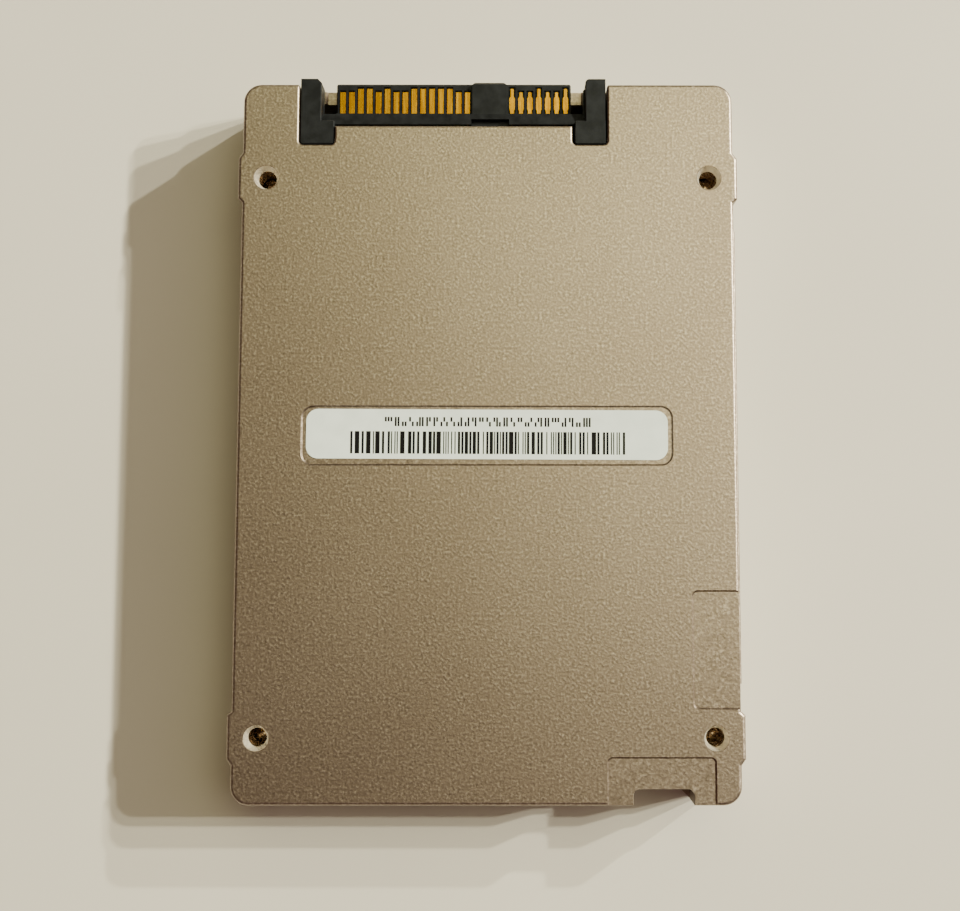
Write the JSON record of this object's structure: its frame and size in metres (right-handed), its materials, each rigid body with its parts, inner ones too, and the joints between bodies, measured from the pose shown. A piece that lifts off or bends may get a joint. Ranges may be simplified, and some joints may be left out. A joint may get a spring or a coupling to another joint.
{
  "type": "solid state drive",
  "caption": "Flat rectangular storage drive in a cast two-piece case, with screw holes underneath and at the sides and an edge plug at one end.",
  "frame": {"origin": "middle of the bottom of the bounding box; the drive lies on its cover", "axes": "+Z out of the face with the four bottom mounting holes, +Y out of the connector, +X to the right when that face is read with the connector at the top"},
  "size_m": [0.0698, 0.1004, 0.015],
  "materials": {
    "case_paint": "fine metallic champagne paint over cast aluminium, satin",
    "screw_steel": "zinc plated",
    "connector_plastic": "moulded, fine matte",
    "contact_gold": "gold plated, bright",
    "tin_plate": "tin plated, satin",
    "label_film": "white polyester label, satin",
    "board_laminate": "green solder mask",
    "chip_epoxy": "moulded epoxy",
    "link_plastic": "natural liquid-crystal polymer",
    "spacer_brass": "turned, bright",
    "heat_pad": "soft silicone",
    "foam": "closed-cell foam",
    "capacitor_sleeve": "shrink sleeve",
    "inductor_body": "pressed iron powder",
    "tantalum_body": "moulded epoxy",
    "ceramic_body": "sintered ceramic with tinned ends",
    "resistor_body": "glass-coated film with tinned ends"
  },
  "bodies": {
    "root": {"mounting_case": "case_paint", "cover": "case_paint", "cover_screws": "screw_steel", "barcode_label": "label_film", "product_label": "label_film", "connector_housing": "connector_plastic", "power_contacts": "contact_gold", "signal_contacts": "contact_gold", "secondary_contacts": "contact_gold", "connector_hold_downs": "tin_plate", "main_board": "board_laminate", "memory_board": "board_laminate", "board_spacers": "spacer_brass", "board_screws": "screw_steel", "board_socket": "link_plastic", "board_plug": "link_plastic", "controller_chip": "chip_epoxy", "dram_chips": "chip_epoxy", "upper_flash_chips": "chip_epoxy", "inner_flash_chips": "chip_epoxy", "memory_flash_chips": "chip_epoxy", "lower_flash_chips": "chip_epoxy", "controller_heat_pad": "heat_pad", "upper_heat_pads": "heat_pad", "middle_heat_pads": "heat_pad", "cover_heat_pad": "heat_pad", "backup_capacitors": "capacitor_sleeve", "capacitor_pad": "foam", "power_inductors": "inductor_body", "power_regulators": "chip_epoxy", "tantalum_capacitors": "tantalum_body", "ceramic_capacitors": "ceramic_body", "chip_resistors": "resistor_body", "input_fuse": "ceramic_body", "surge_suppressor": "resistor_body", "crystal_oscillator": "tin_plate", "boot_memory_chip": "chip_epoxy"}
  },
  "joints": []
}
